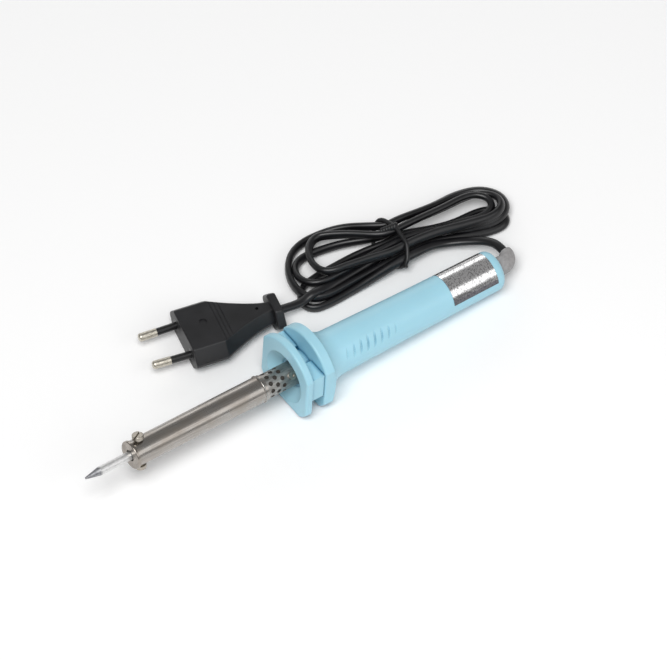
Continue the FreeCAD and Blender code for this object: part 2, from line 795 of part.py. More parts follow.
def plug_pin_holes():
    holes = []
    for foot, direction in pin_lines():
        holes.append(pin_bar(foot, direction, -pin_tail_length, 1.0, 0.5 * pin_tail_diameter))
        holes.append(pin_bar(foot, direction, -plug_collar_depth, 1.0, 0.5 * plug_collar_diameter))
    return holes


def make_plug_collars():
    collars = []
    for foot, direction in pin_lines():
        collar = pin_bar(foot, direction, -plug_collar_depth, 0.0, 0.5 * plug_collar_diameter)
        collars.append(collar.cut(pin_bar(foot, direction, -plug_collar_depth - 1.0, 1.0,
                                          0.5 * pin_tail_diameter)))
    return Part.makeCompound(collars)


def make_plug_pins():
    pins = []
    for foot, direction in pin_lines():
        tail = pin_bar(foot, direction, -pin_tail_length, pin_sleeve_length, 0.5 * pin_tail_diameter)
        pin = pin_bar(foot, direction, pin_sleeve_length, pin_length, 0.5 * pin_diameter)
        tip = foot + direction * pin_length
        rim = [edge for edge in pin.Edges if edge.BoundBox.Center.distanceToPoint(tip) < 0.01]
        pins.append(tail.fuse(pin.makeFillet(1.2, rim)).removeSplitter())
    return Part.makeCompound(pins)


def make_plug_pin_sleeves():
    sleeves = []
    for foot, direction in pin_lines():
        sleeve = pin_bar(foot, direction, 0.0, pin_sleeve_length, 0.5 * pin_sleeve_diameter)
        sleeves.append(sleeve.cut(pin_bar(foot, direction, -1.0, pin_sleeve_length + 1.0,
                                          0.5 * pin_tail_diameter)))
    return Part.makeCompound(sleeves)


def place_plug(shape):
    placed = shape.copy()
    placed.Placement = Placement(Vector(plug_position[0], plug_position[1], 0.5 * plug_thickness),
                                 Rotation(Vector(0, 0, 1), plug_heading))
    return placed


# ---- hank and its wire tie, in the floor frame ----
def hank_wire(station, low, high, bottom, top):
    """An upright ellipse across the hank."""
    centre = Vector(station, 0.5 * (low + high), 0.5 * (bottom + top))
    across = Vector(0, 0.5 * (high - low), 0)
    upward = Vector(0, 0, 0.5 * (top - bottom))
    if across.Length >= upward.Length:
        curve = Part.Ellipse(centre + across, centre + upward, centre)
    else:
        curve = Part.Ellipse(centre + upward, centre - across, centre)
    return Part.Wire([curve.toShape()])


def make_hank():
    return Part.makeLoft([hank_wire(*section) for section in hank_sections], True, True)


def make_tie(hank):
    waist = [section for section in hank_sections if section[3] == hank_waist_lift][0]
    middle = Vector(tie_station, 0.5 * (waist[1] + waist[2]), 0.5 * (waist[3] + waist[4]))
    tilt = math.radians(tie_tilt)
    across = Vector(0, 1, 0)
    up = Vector(math.sin(tilt), 0, math.cos(tilt))
    reach = 0.5 * (waist[2] - waist[1]) + 0.8 * tie_radius
    height = (0.5 * (waist[4] - waist[3]) + 0.8 * tie_radius) / math.cos(tilt)
    loop = Part.Ellipse(middle + across * reach, middle + up * height, middle)
    profile = Part.Wire([Part.Circle(middle + across * reach, up, tie_radius).toShape()])
    ring_of_tie = Part.Wire([loop.toShape()]).makePipeShell([profile], True, False)
    knob_foot = middle + across * (0.80 * reach) + up * (0.62 * height)
    knob_way = (across - Vector(1, 0, 0)).normalize()
    knob = Part.makeCylinder(tie_knob_radius, tie_knob_length, knob_foot, knob_way)
    tail_foot = middle - across * (0.80 * reach) - up * (0.60 * height)
    tail = Part.makeCylinder(tie_radius, tie_tail_length, tail_foot, across * -1.0)
    return ring_of_tie.fuse(knob).fuse(tail).cut(hank)


# ---- the whole iron ----
def iron_parts():
    return {
        "bit": make_bit(),
        "end_cap": make_end_cap(),
        "set_screw_upper": make_set_screw(1),
        "set_screw_lower": make_set_screw(-1),
        "barrel_tube": make_barrel(),
        "mounting_sleeve": make_mounting_sleeve(),
        "sleeve_screws": make_sleeve_screws(),
        "heater_tube": make_heater_tube(),
        "heater_former": make_heater_former(),
        "heater_winding": make_heater_winding(),
        "mica_wrap": make_mica_wrap(),
        "heater_carrier": make_heater_carrier(),
        "heater_lead_wires": make_lead_wires(),
        "heater_lead_sleeving": make_lead_sleeving(),
        "front_guard": make_front_guard(),
        "handle_shell": make_handle(),
        "foil_label": make_foil_label(),
        "terminal_block": make_terminal_block(),
        "terminal_tubes": make_terminal_tubes(),
        "terminal_screws": make_terminal_screws(),
        "cord_cores": make_cord_cores(),
        "cord_sheath_end": make_cord_inner(),
        "cord_ferrule": make_cord_ferrule(),
        "strain_relief": make_strain_relief(),
    }


def plug_parts():
    return {
        "plug_body": make_plug_body(),
        "plug_collars": make_plug_collars(),
        "plug_pins": make_plug_pins(),
        "plug_pin_sleeves": make_plug_pin_sleeves(),
    }


def floor_placement(parts):
    """Tilt the iron onto its two resting points, with the origin under the middle of its box."""
    tilt = Rotation(Vector(0, 1, 0), tilt_angle)
    tilted = []
    for shape in parts.values():
        turned = shape.copy()
        turned.Placement = Placement(Vector(0, 0, 0), tilt)
        tilted.append(turned.optimalBoundingBox(False, False))
    low = [min(getattr(b, side) for b in tilted) for side in ("XMin", "YMin", "ZMin")]
    high = [max(getattr(b, side) for b in tilted) for side in ("XMax", "YMax")]
    shift = Vector(-0.5 * (low[0] + high[0]), -0.5 * (low[1] + high[1]), -low[2])
    return Placement(shift, tilt)


def cord_parts():
    hank = make_hank()
    lead, lead_path, lead_radii = tube_along([Vector(*point) for point in lead_points], 0.5 * cord_diameter)
    tail, tail_path, tail_radii = tube_along([Vector(*point) for point in tail_points], 0.5 * cord_diameter)
    report_tube("cord_lead", lead, lead_path, lead_radii)
    report_tube("cord_tail", tail, tail_path, tail_radii)
    return {
        "cord_lead": lead.cut(hank),
        "cord_tail": tail.cut(hank),
        "cord_hank": hank,
        "cord_tie": make_tie(hank),
    }


def main():
    os.makedirs("parts", exist_ok=True)
    iron = iron_parts()
    seat = floor_placement(iron)
    placed = {}
    for name, shape in iron.items():
        placed[name] = shape.copy()
        placed[name].Placement = seat
    for name, shape in plug_parts().items():
        placed[name] = place_plug(shape)
    placed.update(cord_parts())
    for name, shape in placed.items():
        shape.exportStep("parts/" + name + ".step")
    print(len(placed), "nodes; cord leaves the strain relief at",
          seat.multVec(Vector(handle_end + relief_straight + relief_bend_radius, relief_bend_radius, 0)))


main()
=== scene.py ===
import math

import bmesh
import bpy
import numpy as np
from bpy.props import FloatProperty, FloatVectorProperty, IntProperty, PointerProperty
from mathutils import Matrix, Vector
from mathutils.geometry import convex_hull_2d


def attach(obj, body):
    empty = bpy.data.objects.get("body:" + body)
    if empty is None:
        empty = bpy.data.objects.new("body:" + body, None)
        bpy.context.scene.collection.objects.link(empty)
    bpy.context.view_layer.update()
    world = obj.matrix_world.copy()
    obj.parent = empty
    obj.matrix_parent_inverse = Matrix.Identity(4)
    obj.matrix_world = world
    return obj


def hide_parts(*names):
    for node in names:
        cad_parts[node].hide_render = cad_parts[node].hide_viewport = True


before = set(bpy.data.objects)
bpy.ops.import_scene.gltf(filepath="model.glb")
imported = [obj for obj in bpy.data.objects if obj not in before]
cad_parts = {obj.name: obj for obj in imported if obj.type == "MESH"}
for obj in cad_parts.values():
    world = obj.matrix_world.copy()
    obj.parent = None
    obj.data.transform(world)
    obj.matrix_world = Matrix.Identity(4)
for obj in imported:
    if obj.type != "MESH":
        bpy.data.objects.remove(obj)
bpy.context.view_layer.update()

bl_info = {
    "name": "Soldering Iron Finish",
    "version": (1, 0, 0),
    "blender": (4, 5, 0),
    "location": "3D View > Sidebar > Iron",
    "description": "Finishes a mains soldering iron: cord, tie, label, plug, metal and plastic",
    "category": "Object",
}

FIXED_BODY = "iron"
MM = 0.001
# The iron's axis rises towards its bit by this much, and this is the bit's point, in X and Z.
IRON_TILT = math.radians(3.1798)
BIT_TIP = (-0.123068, 0.02268)
TIE_STATION = 0.0732

# The cord's route where it isn't coiled: out of the strain relief and along the handle's end.
LEAD_ROUTE = (
    (0.11976, 0.0055, 0.00919), (0.11976, 0.0098, 0.00919), (0.1189, 0.0140, 0.0086),
    (0.1165, 0.0180, 0.0076), (0.1127, 0.0220, 0.0064), (0.1075, 0.0264, 0.0052),
    (0.1017, 0.0298, 0.0048), (0.0955, 0.0316, 0.0058),
)
# From the hank's left end into the plug.
TAIL_ROUTE = ((0.0284, 0.0384, 0.0058), (0.0236, 0.0383, 0.0064), (0.019042, 0.039022, 0.00685),
              (0.015154, 0.039963, 0.00685))

# Each turn of the hank, in millimetres. "slots" are its two places in the tie, (Y, Z), going
# left and coming back. A fold is its reach in X, low and high side in Y, depth, slant and the
# height of its low and high side. "crest" shapes the far strand from the left fold to the tie,
# and "sweep" the one from the tie to the right fold.
TURNS = (
    {"slots": ((31.6, 6.9), (45.0, 4.9)), "left": (26.9, 33.0, 49.8, 9.0, 3.0, 2.3, 2.3),
     "right": (137.8, 22.8, 37.6, 8.5, -4.0, 2.6, 2.4), "crest": (0.90, 0.62, 0.16), "sweep": (0.55, 0.95)},
    {"slots": ((35.2, 4.6), (49.5, 9.6)), "left": (25.0, 34.6, 69.0, 12.0, 10.5, 5.9, 2.4),
     "right": (142.4, 25.4, 50.4, 14.0, -4.5, 5.4, 3.6), "crest": (0.90, 0.66, 0.26), "sweep": (0.45, 0.95)},
    {"slots": ((40.4, 8.2), (48.4, 6.0)), "left": (33.6, 41.2, 62.2, 9.5, 1.0, 5.9, 2.6),
     "right": (138.6, 26.6, 45.4, 11.0, -3.0, 8.2, 6.6), "crest": (0.76, 0.44, 0.10), "sweep": (0.2, 0.8)},
    {"slots": ((36.0, 9.0), (44.6, 11.2)), "left": (40.6, 42.4, 66.0, 8.0, 5.5, 9.0, 6.4),
     "right": (134.2, 28.4, 43.6, 9.0, -3.0, 8.0, 9.4), "crest": (0.86, 0.52, 0.10), "sweep": (0.3, 0.9)},
)
TAIL_SLOT = (40.1, 4.7)
CORD_SPACING = 0.0035
CORD_LOWEST = 0.0023
SETTLE_SHARE = 0.4


# ---- settings ----
class CordSettings(bpy.types.PropertyGroup):
    width: FloatProperty(name="Width", description="Width of the flat sheath", default=0.0044,
                         unit="LENGTH")
    thickness: FloatProperty(name="Thickness", description="Thickness of the flat sheath", default=0.0032,
                             unit="LENGTH")
    sides: IntProperty(name="Sides", description="Points round the sheath", default=20)
    tie_wire: FloatProperty(name="Tie wire", description="Half the thickness of the tie's wire",
                            default=0.001,
                            unit="LENGTH")
    tie_tilt: FloatProperty(name="Tie tilt", description="How far the tie's top leans along the hank",
                            default=math.radians(41.0), unit="ROTATION")


class StageSettings(bpy.types.PropertyGroup):
    azimuth: FloatProperty(name="Azimuth", description="Where the camera stands round the iron",
                           default=math.radians(-35.47), unit="ROTATION")
    elevation: FloatProperty(name="Elevation", description="How high the camera stands above the floor",
                             default=math.radians(51.14), unit="ROTATION")
    distance: FloatProperty(name="Distance", description="From the camera to the middle of the view",
                            default=12.0, unit="LENGTH")
    lens: FloatProperty(name="Lens", description="Focal length", default=1392.6, unit="CAMERA")
    key: FloatProperty(name="Key", description="Power of the softbox overhead, in watts", default=21.5)
    front: FloatProperty(name="Front", description="Power of the softbox in front, in watts", default=3.0)
    back: FloatProperty(name="Back", description="Power of the softbox behind, in watts", default=2.6)
    sky: FloatProperty(name="Sky", description="Brightness of the studio all round", default=0.26)


class FinishSettings(bpy.types.PropertyGroup):
    blue: FloatVectorProperty(name="Blue", description="Colour of the handle and guard", subtype="COLOR",
                              size=3, default=(0.355, 0.645, 0.765))


# ---- shaders ----
def linear(code):
    """A linear colour from an sRGB hex code."""
    channels = []
    for start in (1, 3, 5):
        value = int(code[start:start + 2], 16) / 255.0
        channels.append(value / 12.92 if value <= 0.04045 else ((value + 0.055) / 1.055) ** 2.4)
    return (*channels, 1.0)


def add(tree, kind, links=None, stops=(), **settings):
    """Add a node: links join its inputs to other nodes' outputs, settings set its inputs or attributes,
    and stops give its colour ramp a hex colour at each of its two ends."""
    node = tree.nodes.new(kind)
    if stops:
        for element, (position, code) in zip(node.color_ramp.elements, stops):
            element.position = position
            element.color = linear(code)
    for name, value in settings.items():
        if hasattr(node, name):
            setattr(node, name, value)
        else:
            node.inputs[name.replace("_", " ")].default_value = value
    for name, socket in (links or {}).items():
        tree.links.new(socket, node.inputs[name])
    return node


def new_material(name, metallic=0.0, ior=1.5):
    """A material with a Principled shader; gives the material, its tree and the shader."""
    material = bpy.data.materials.new(name)
    material.use_nodes = True
    shader = material.node_tree.nodes["Principled BSDF"]
    shader.inputs["Metallic"].default_value = metallic
    shader.inputs["IOR"].default_value = ior
    return material, material.node_tree, shader


def along_iron(tree, lengthwise_mm, across_mm):
    """Object coordinates turned to the iron's own axis and counted in grains of this length and width."""
    place = add(tree, "ShaderNodeTexCoord").outputs["Object"]
    turned = add(tree, "ShaderNodeMapping", {"Vector": place}, Rotation=(0.0, -IRON_TILT, 0.0))
    scale = (1000.0 / lengthwise_mm, 1000.0 / across_mm, 1000.0 / across_mm)
    return add(tree, "ShaderNodeMapping", {"Vector": turned.outputs["Vector"]}, Scale=scale).outputs["Vector"]


def finish_surface(name, colours, roughness, grain_mm, depth_mm, metallic=0.0, ior=1.5):
    """A surface whose tone, gloss and height all follow one grain, given as its length and width."""
    material, tree, shader = new_material(name, metallic, ior)
    grain = add(tree, "ShaderNodeTexNoise", {"Vector": along_iron(tree, *grain_mm)}, Scale=1.0, Detail=4.0)
    shade = add(tree, "ShaderNodeValToRGB", {"Fac": grain.outputs["Fac"]},
                stops=((0.3, colours[0]), (0.7, colours[1])))
    tree.links.new(shade.outputs["Color"], shader.inputs["Base Color"])
    gloss = add(tree, "ShaderNodeMapRange", {"Value": grain.outputs["Fac"]},
                To_Min=roughness[0], To_Max=roughness[1])
    tree.links.new(gloss.outputs["Result"], shader.inputs["Roughness"])
    bump = add(tree, "ShaderNodeBump", {"Height": grain.outputs["Fac"]}, Strength=0.6, Distance=depth_mm * MM)
    tree.links.new(bump.outputs["Normal"], shader.inputs["Normal"])
    return material


def give(material, *nodes):
    """Put a material on CAD nodes in place of what they have."""
    for name in nodes:
        mesh = bpy.data.objects[name].data
        mesh.materials.clear()
        mesh.materials.append(material)


def blue_nylon(colour):
    """Glass-filled nylon, injection moulded: pale blue, a soft even sheen, fine spark-eroded texture."""
    material, tree, shader = new_material("Pale blue nylon, moulded", ior=1.53)
    place = add(tree, "ShaderNodeTexCoord").outputs["Object"]
    # the tool's texture is 0.1 mm across, drawn at 0.35 mm so that it shows
    texture = add(tree, "ShaderNodeTexNoise", {"Vector": place}, Scale=2900.0, Detail=2.0)
    flow = add(tree, "ShaderNodeTexNoise", {"Vector": place}, Scale=38.0, Detail=3.0)
    tone = add(tree, "ShaderNodeHueSaturation", Color=(*colour, 1.0))
    drift = add(tree, "ShaderNodeMapRange", {"Value": flow.outputs["Fac"]}, To_Min=0.93, To_Max=1.06)
    tree.links.new(drift.outputs["Result"], tone.inputs["Value"])
    # painted shade: an occlusion mask deepens the blue in the cuts and corners, where shade falls
    crease_shade = add(tree, "ShaderNodeAmbientOcclusion", samples=8, Distance=0.0022)
    depth = add(tree, "ShaderNodeValToRGB", {"Fac": crease_shade.outputs["AO"]},
                stops=((0.45, "#3E88A6"), (0.93, "#FFFFFF"))).outputs["Color"]
    shaded = add(tree, "ShaderNodeMix", {"A": tone.outputs["Color"], "B": depth},
                 data_type="RGBA", blend_type="MULTIPLY")
    shaded.inputs["Factor"].default_value = 1.0
    tree.links.new(shaded.outputs["Result"], shader.inputs["Base Color"])
    gloss = add(tree, "ShaderNodeMapRange", {"Value": texture.outputs["Fac"]}, To_Min=0.34, To_Max=0.46)
    tree.links.new(gloss.outputs["Result"], shader.inputs["Roughness"])
    bump = add(tree, "ShaderNodeBump", {"Height": texture.outputs["Fac"]}, Strength=0.35, Distance=0.02 * MM)
    tree.links.new(bump.outputs["Normal"], shader.inputs["Normal"])
    shader.inputs["Subsurface Weight"].default_value = 0.08
    shader.inputs["Subsurface Radius"].default_value = (0.4, 0.7, 1.0)
    shader.inputs["Subsurface Scale"].default_value = 0.0015
    return material


def barrel_steel():
    """Stainless tube, drawn and lightly polished: bright, with fine lines along it and a straw heat tint."""
    material, tree, shader = new_material("Stainless steel, drawn tube", metallic=1.0)
    lines = add(tree, "ShaderNodeTexNoise", {"Vector": along_iron(tree, 14.0, 0.35)}, Scale=1.0, Detail=5.0)
    haze = add(tree, "ShaderNodeTexNoise", {"Vector": along_iron(tree, 9.0, 6.0)}, Scale=1.0, Detail=4.0)
    bright = add(tree, "ShaderNodeValToRGB", {"Fac": lines.outputs["Fac"]},
                 stops=((0.25, "#95918D"), (0.75, "#BCB9B5"))).outputs["Color"]
    tint = add(tree, "ShaderNodeValToRGB", {"Fac": haze.outputs["Fac"]},
               stops=((0.35, "#FFFFFF"), (0.75, "#EBE2D8"))).outputs["Color"]
    mixed = add(tree, "ShaderNodeMix", data_type="RGBA", blend_type="MULTIPLY")
    mixed.inputs["Factor"].default_value = 0.8
    tree.links.new(bright, mixed.inputs["A"])
    tree.links.new(tint, mixed.inputs["B"])
    tree.links.new(mixed.outputs["Result"], shader.inputs["Base Color"])
    gloss = add(tree, "ShaderNodeMapRange", {"Value": haze.outputs["Fac"]}, To_Min=0.20, To_Max=0.36)
    tree.links.new(gloss.outputs["Result"], shader.inputs["Roughness"])
    bump = add(tree, "ShaderNodeBump", {"Height": lines.outputs["Fac"]}, Strength=0.5, Distance=0.006 * MM)
    tree.links.new(bump.outputs["Normal"], shader.inputs["Normal"])
    return material


def bit_metal():
    """Copper bit, iron plated and satin chromed: pale grey, and past the shoulder a dull tinned point."""
    material, tree, shader = new_material("Satin chrome plate, tinned point", metallic=1.0)
    place = along_iron(tree, 1.0, 1.0)
    tip = Matrix.Rotation(IRON_TILT, 3, "Y").inverted() @ Vector((BIT_TIP[0], 0.0, BIT_TIP[1]))
    station = add(tree, "ShaderNodeSeparateXYZ", {"Vector": place}).outputs["X"]
    mottle = add(tree, "ShaderNodeTexNoise", {"Vector": along_iron(tree, 1.3, 1.0)}, Scale=1.0, Detail=5.0)
    edge = add(tree, "ShaderNodeMath", operation="MULTIPLY_ADD")
    tree.links.new(mottle.outputs["Fac"], edge.inputs[0])
    edge.inputs[1].default_value = -1.6
    tree.links.new(station, edge.inputs[2])
    first = tip.x * 1000.0
    share = add(tree, "ShaderNodeMapRange", {"Value": edge.outputs["Value"]},
                From_Min=first + 6.6, From_Max=first + 7.8)
    satin = add(tree, "ShaderNodeValToRGB", {"Fac": mottle.outputs["Fac"]},
                stops=((0.3, "#D6D6D6"), (0.7, "#E9E9E8"))).outputs["Color"]
    tinned = add(tree, "ShaderNodeValToRGB", {"Fac": mottle.outputs["Fac"]},
                 stops=((0.3, "#75757A"), (0.7, "#A9AAAC"))).outputs["Color"]
    mixed = add(tree, "ShaderNodeMix", {"Factor": share.outputs["Result"]}, data_type="RGBA")
    tree.links.new(tinned, mixed.inputs["A"])
    tree.links.new(satin, mixed.inputs["B"])
    tree.links.new(mixed.outputs["Result"], shader.inputs["Base Color"])
    gloss = add(tree, "ShaderNodeMapRange", {"Value": mottle.outputs["Fac"]}, To_Min=0.38, To_Max=0.55)
    tree.links.new(gloss.outputs["Result"], shader.inputs["Roughness"])
    bump = add(tree, "ShaderNodeBump", {"Height": mottle.outputs["Fac"]}, Strength=0.5, Distance=0.03 * MM)
    tree.links.new(bump.outputs["Normal"], shader.inputs["Normal"])
    return material


def mirror_film():
    """Metallised polyester label: a mirror, wrinkled and speckled, with a painted dark reflection at its
    lower edge; blank.
    """
    material, tree, shader = new_material("Metallised label film", metallic=1.0)
    wrinkle = add(tree, "ShaderNodeTexNoise", {"Vector": along_iron(tree, 1.9, 0.9)}, Scale=1.0, Detail=5.0)
    speck = add(tree, "ShaderNodeTexNoise", {"Vector": along_iron(tree, 0.6, 0.9)}, Scale=1.0, Detail=4.0)
    silver = add(tree, "ShaderNodeValToRGB", {"Fac": speck.outputs["Fac"]},
                 stops=((0.34, "#A5A4A5"), (0.52, "#F4F3F3"))).outputs["Color"]
    # painted reflection: below a ragged line along the label the base colour darkens to purple-grey
    place = add(tree, "ShaderNodeTexCoord").outputs["Object"]
    sideways = add(tree, "ShaderNodeSeparateXYZ", {"Vector": place}).outputs["Y"]
    uneven = add(tree, "ShaderNodeMath", operation="MULTIPLY_ADD")
    tree.links.new(wrinkle.outputs["Fac"], uneven.inputs[0])
    uneven.inputs[1].default_value = 1.2 * MM
    tree.links.new(sideways, uneven.inputs[2])
    edge = add(tree, "ShaderNodeMapRange", {"Value": uneven.outputs["Value"]},
               From_Min=-8.6 * MM, From_Max=-7.6 * MM)
    painted_dark_band = add(tree, "ShaderNodeValToRGB", {"Fac": edge.outputs["Result"]},
                 stops=((0.0, "#77767B"), (1.0, "#FFFFFF"))).outputs["Color"]
    mixed = add(tree, "ShaderNodeMix", data_type="RGBA", blend_type="MULTIPLY")
    mixed.inputs["Factor"].default_value = 1.0
    tree.links.new(silver, mixed.inputs["A"])
    tree.links.new(painted_dark_band, mixed.inputs["B"])
    tree.links.new(mixed.outputs["Result"], shader.inputs["Base Color"])
    gloss = add(tree, "ShaderNodeMapRange", {"Value": speck.outputs["Fac"]}, To_Min=0.30, To_Max=0.14)
    tree.links.new(gloss.outputs["Result"], shader.inputs["Roughness"])
    bump = add(tree, "ShaderNodeBump", {"Height": wrinkle.outputs["Fac"]}, Strength=0.6, Distance=0.03 * MM)
    tree.links.new(bump.outputs["Normal"], shader.inputs["Normal"])
    return material


def plug_pvc():
    """Flexible PVC moulded over the plug: near black, satin, rubbed paler in a fine cloud."""
    material, tree, shader = new_material("Black PVC, moulded", ior=1.53)
    place = add(tree, "ShaderNodeTexCoord").outputs["Object"]
    skin = add(tree, "ShaderNodeTexNoise", {"Vector": place}, Scale=1900.0, Detail=2.0)
    cloud = add(tree, "ShaderNodeTexNoise", {"Vector": place}, Scale=70.0, Detail=4.0)
    shade = add(tree, "ShaderNodeValToRGB", {"Fac": cloud.outputs["Fac"]},
                stops=((0.3, "#0E0E10"), (0.7, "#1C1C1F")))
    tree.links.new(shade.outputs["Color"], shader.inputs["Base Color"])
    gloss = add(tree, "ShaderNodeMapRange", {"Value": cloud.outputs["Fac"]}, To_Min=0.36, To_Max=0.50)
    tree.links.new(gloss.outputs["Result"], shader.inputs["Roughness"])
    bump = add(tree, "ShaderNodeBump", {"Height": skin.outputs["Fac"]}, Strength=0.4, Distance=0.02 * MM)
    tree.links.new(bump.outputs["Normal"], shader.inputs["Normal"])
    return material


# ---- the cord ----
def fold(side, reach, low, high, depth, slant, low_lift, high_lift):
    """The five control points round one fold, from the strand it comes in on."""
    points = []
    middle = 0.5 * (low + high)
    half = 0.5 * (high - low)
    for step in range(5):
        angle = math.radians(-90.0 + 45.0 * step)
        share = 0.5 * (1.0 + math.sin(angle))
        x = reach + side * depth * (1.0 - 1.04 * math.cos(angle)) + slant * share
        points.append(Vector((x, middle + half * math.sin(angle), low_lift + (high_lift - low_lift) * share)))
    return points


def turn_points(turn):
    """Control points of one turn: left through the tie, round the left fold, back and round the right."""
    (low_y, low_z), (high_y, high_z) = turn["slots"]
    next_y, next_z = low_next(turn)
    left = fold(1.0, *turn["left"])
    right = fold(-1.0, *turn["right"])[::-1]
    points = [Vector((88.0, low_y, low_z)), Vector((77.0, low_y, low_z))]
    for station, share in ((66.0, 0.45), (53.0, 0.95)):
        points.append(Vector((station, low_y, low_z)).lerp(Vector((station, left[0].y, left[0].z)), share))
    points += left
    for station, share, lift in zip((59.5, 68.5, 77.0), turn["crest"], (0.8, 0.45, 0.1)):
        points.append(Vector((station, high_y + share * (left[-1].y - high_y),
                              high_z + lift * (left[-1].z - high_z))))
    points += [Vector((83.5, high_y, high_z)), Vector((90.0, high_y, high_z))]
    for station, share, lift in zip((101.0, 113.0), turn["sweep"], (0.5, 0.95)):
        points.append(Vector((station, high_y + share * (right[0].y - high_y),
                              high_z + lift * (right[0].z - high_z))))
    points += right
    for station, share in ((114.0, 0.35), (101.0, 0.78)):
        landing = Vector((station, next_y, next_z))
        points.append(Vector((station, right[-1].y, right[-1].z)).lerp(landing, share))
    return points


def low_next(turn):
    """The place in the tie that a turn goes into next."""
    following = TURNS.index(turn) + 1
    return TURNS[following]["slots"][0] if following < len(TURNS) else TAIL_SLOT


def cord_points():
    """All control points, in metres, from the strain relief to the plug."""
    points = [Vector(point) for point in LEAD_ROUTE]
    for turn in TURNS:
        points += [point * MM for point in turn_points(turn)]
    y, z = TAIL_SLOT
    points += [Vector((88.0, y, z)) * MM, Vector((76.0, y, z)) * MM, Vector((63.0, 39.2, 3.4)) * MM,
               Vector((50.0, 38.6, 3.2)) * MM, Vector((40.0, 38.4, 4.8)) * MM, Vector((34.0, 38.4, 6.8)) * MM]
    points += [Vector(point) for point in TAIL_ROUTE]
    return settle(points, CORD_SPACING, CORD_LOWEST, len(TAIL_ROUTE))


def settle(points, spacing, lowest, fixed):
    """Push the strands of a route apart, as they lie on one another and on the floor."""
    planned = np.array(points)
    placed = planned.copy()
    rows = []
    for middle in range(1, len(points) - 1):
        for share in (0.0, 0.25, 0.5, 0.75):
            row = np.zeros(len(points))
            row[middle - 1:middle + 2] = (0.5 * (1 - share) ** 2, 0.5 + share * (1 - share), 0.5 * share ** 2)
            rows.append(row)
    weights = np.array(rows)
    reach = weights.sum(axis=0)[:, None] + 0.5
    for _ in range(150):
        line = weights @ placed
        run = np.concatenate(([0.0], np.cumsum(np.linalg.norm(np.diff(line, axis=0), axis=1))))
        gap = line[:, None] - line[None]
        distance = np.linalg.norm(gap, axis=2) + 1e-9
        close = (distance < spacing) & (np.abs(run[:, None] - run[None]) > 3.0 * spacing)
        overlap = np.where(close, spacing - distance, 0.0) * SETTLE_SHARE
        push = (gap / distance[..., None] * overlap[..., None]).sum(axis=1)
        push[:, 2] += np.maximum(lowest - line[:, 2], 0.0)
        shift = placed - planned + weights.T @ push / reach
        shift[:fixed] = 0.0
        shift[-fixed:] = 0.0
        shift[1:-1] = 0.1 * shift[:-2] + 0.8 * shift[1:-1] + 0.1 * shift[2:]
        placed = planned + shift
    return [Vector(point) for point in placed]


def spline_path(name, points):
    """The line of an open NURBS spline through these control points, as a list of places."""
    curve = bpy.data.curves.new(name, "CURVE")
    curve.dimensions = "3D"
    spline = curve.splines.new("NURBS")
    spline.points.add(len(points) - 1)
    for point, place in zip(spline.points, points):
        point.co = (*place, 1.0)
    spline.order_u = 3
    spline.use_endpoint_u = True
    spline.resolution_u = 5
    holder = bpy.data.objects.new(name, curve)
    bpy.context.scene.collection.objects.link(holder)
    bpy.context.view_layer.update()
    line = bpy.data.meshes.new_from_object(holder.evaluated_get(bpy.context.evaluated_depsgraph_get()))
    path = [vertex.co.copy() for vertex in line.vertices]
    bpy.data.objects.remove(holder)
    bpy.data.curves.remove(curve)
    bpy.data.meshes.remove(line)
    return path


def path_lengths(path):
    lengths = [0.0]
    for start, end in zip(path, path[1:]):
        lengths.append(lengths[-1] + (end - start).length)
    return lengths


def cord_roll(distance, total):
    """How far the flat sheath stands on its edge at a distance along it, in radians."""
    lying = math.radians(90.0)
    wander = math.radians(18.0 + 26.0 * math.sin(distance / 0.037 + 1.0) + 14.0 * math.sin(distance / 0.0171))
    near_end = max(1.0 - distance / 0.07, 1.0 - (total - distance) / 0.05, 0.0)
    ease = near_end * near_end * (3.0 - 2.0 * near_end)
    return wander + (lying - wander) * min(1.0, 1.6 * ease)


def sweep_flat(name, path, width, thickness, sides):
    """A flat-oval sheath along a path; its UV runs along and round it in metres."""
    lengths = path_lengths(path)
    total = lengths[-1]
    half = 0.5 * thickness
    reach = 0.5 * width - half
    outline = []
    for index in range(sides):
        angle = 2.0 * math.pi * index / sides
        outward = half * math.cos(angle) + reach * math.tanh(3.0 * math.cos(angle))
        outline.append((outward, half * math.sin(angle)))
    shape = bmesh.new()
    rings = []
    for index, place in enumerate(path):
        ahead = path[min(index + 1, len(path) - 1)]
        behind = path[max(index - 1, 0)]
        forward = (ahead - behind).normalized()
        upright = (Vector((0, 0, 1)) - forward * forward.z).normalized()
        sideways = forward.cross(upright)
        roll = cord_roll(lengths[index], total)
        wide = upright * math.cos(roll) + sideways * math.sin(roll)
        thin = forward.cross(wide)
        rings.append([shape.verts.new(place + wide * w + thin * t) for w, t in outline])
    layer = shape.loops.layers.uv.new("Sheath")
    for index in range(len(rings) - 1):
        for side in range(sides):
            following = (side + 1) % sides
            face = shape.faces.new((rings[index][side], rings[index][following],
                                    rings[index + 1][following], rings[index + 1][side]))
            face.smooth = True
            spots = ((index, side), (index, side + 1), (index + 1, side + 1), (index + 1, side))
            for loop, (along, around) in zip(face.loops, spots):
                loop[layer].uv = (lengths[along], around / sides * 0.012)
    shape.faces.new(rings[0][::-1])
    shape.faces.new(rings[-1])
    bmesh.ops.recalc_face_normals(shape, faces=shape.faces)
    mesh = bpy.data.meshes.new(name)
    shape.to_mesh(mesh)
    shape.free()
    piece = bpy.data.objects.new(name, mesh)
    bpy.context.scene.collection.objects.link(piece)
    return piece, total


